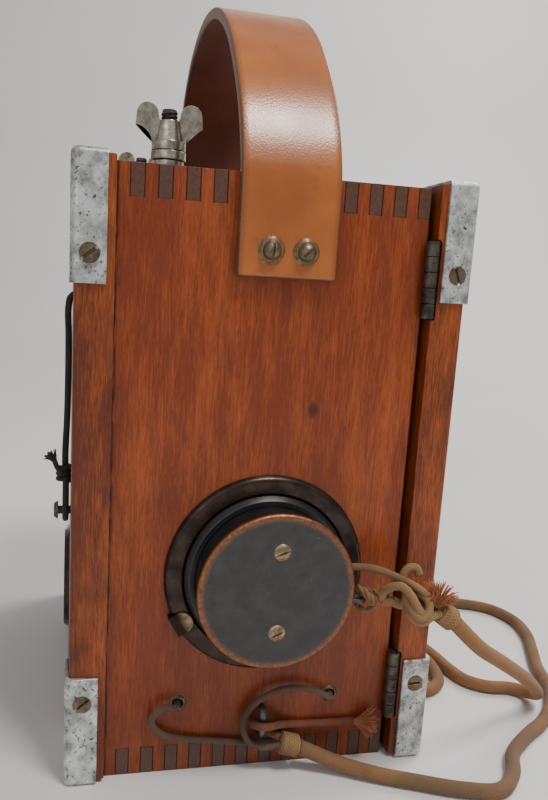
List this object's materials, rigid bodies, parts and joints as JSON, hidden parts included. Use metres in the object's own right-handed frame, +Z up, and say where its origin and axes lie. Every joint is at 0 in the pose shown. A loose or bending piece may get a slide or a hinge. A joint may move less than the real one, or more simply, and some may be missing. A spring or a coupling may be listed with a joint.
{
  "type": "line test telephone",
  "caption": "Portable wooden line test telephone with a hinged door, leather strap, binding posts, cup-held receiver on a braided cord, and its battery and coil inside.",
  "frame": {"origin": "middle of the case's underside, on the floor", "axes": "+Z up, -Y out of the receiver side, -X out of the front cover, +X out of the door"},
  "size_m": [0.2677, 0.2238, 0.3091],
  "materials": {
    "board_wood": "dark worn varnish",
    "brass": "aged",
    "cap_sheet": "dull grey sheet",
    "cell_card": "printed card, plain",
    "coil_wood": "waxed",
    "condenser_tin": "tinned sheet",
    "copper": "enamelled wire",
    "cord_black": "braided, black",
    "cord_orange": "braided cotton",
    "cord_tan": "braided cotton",
    "cover_wood": "worn varnish",
    "disc_slate": "slate grey, worn",
    "hard_rubber": "satin black",
    "hinge_steel": "dark, rusted",
    "iron": "bare",
    "nickel": "worn nickel plate",
    "panel_wood": "worn varnish",
    "ring_bronze": "dark patina",
    "screw_steel": "aged",
    "strap_leather": "tan, worn"
  },
  "bodies": {
    "case": {"near_panel": "panel_wood", "far_panel": "panel_wood", "top_board": "board_wood", "bottom_board": "board_wood", "front_cover": "cover_wood", "front_cover_screws": "screw_steel", "front_caps": "cap_sheet", "front_cap_screws": "screw_steel", "hinge_case_leaves": "hinge_steel", "hinge_pins": "hinge_steel", "hinge_case_screws": "hinge_steel", "strap": "strap_leather", "strap_washers": "nickel", "strap_screws": "screw_steel", "post_collars": "nickel", "post_studs": "screw_steel", "post_nuts": "nickel", "receiver_cup": "ring_bronze", "cup_lock_ring": "brass", "cup_clip": "ring_bronze", "cord_knot": "cord_tan", "upper_whipping": "cord_tan", "main_cord": "cord_orange", "lower_whipping": "cord_tan", "left_lead": "cord_tan", "right_lead": "cord_tan", "lower_stay": "cord_orange", "eyelets": "nickel", "staple": "nickel", "faceplate": "ring_bronze", "transmitter_housing": "brass", "transmitter_diaphragm": "iron", "carbon_button": "brass", "loop_stud": "hinge_steel", "black_cord": "cord_black", "dry_cells": "cell_card", "cell_cleat": "board_wood", "induction_coil": "coil_wood", "condenser": "condenser_tin", "inner_wires": "cord_black"},
    "door": {"door": "cover_wood", "door_caps": "cap_sheet", "door_cap_screws": "screw_steel", "hinge_door_leaves": "hinge_steel", "hinge_door_screws": "hinge_steel"},
    "receiver": {"receiver_case": "hard_rubber", "ear_cap": "hard_rubber", "diaphragm": "iron", "receiver_magnet": "iron", "pole_pieces": "iron", "receiver_coils": "copper", "back_disc": "disc_slate", "back_screws": "brass", "tail_loop": "nickel", "receiver_lead": "cord_tan", "receiver_stay": "cord_tan"},
    "near_clamp_washer": {"near_clamp_washer": "nickel"},
    "near_wing_nut": {"near_wing_nut": "nickel"},
    "far_clamp_washer": {"far_clamp_washer": "nickel"},
    "far_wing_nut": {"far_wing_nut": "nickel"}
  },
  "joints": [
    {"name": "door_hinge", "type": "hinge", "parent": "case", "child": "door", "pos_m": [0.05825, -0.0916, 0.1143], "axis": [0, 0, -1], "range_deg": [0, 90], "deforming": ["main_cord"]},
    {"name": "receiver_lift", "type": "slide", "parent": "case", "child": "receiver", "axis": [0, -1, 0], "range_m": [0, 0.03], "deforming": ["receiver_lead", "receiver_stay"]},
    {"name": "near_washer_lift", "type": "slide", "parent": "case", "child": "near_clamp_washer", "axis": [0, 0, 1], "range_m": [0, 0.00381]},
    {"name": "near_nut_turn", "type": "hinge", "parent": "near_clamp_washer", "child": "near_wing_nut", "pos_m": [-0.0369, -0.0608, 0.2386], "axis": [0, 0, 1], "range_deg": [0, 1081]},
    {"name": "far_washer_lift", "type": "slide", "parent": "case", "child": "far_clamp_washer", "axis": [0, 0, 1], "range_m": [0, 0.00381]},
    {"name": "far_nut_turn", "type": "hinge", "parent": "far_clamp_washer", "child": "far_wing_nut", "pos_m": [-0.0369, 0.0608, 0.2386], "axis": [0, 0, 1], "range_deg": [0, 1081]}
  ],
  "couplings": [
    {"joint": "near_nut_turn", "follows": "near_washer_lift", "rad_per_m": 4947.4},
    {"joint": "far_nut_turn", "follows": "far_washer_lift", "rad_per_m": 4947.4}
  ]
}
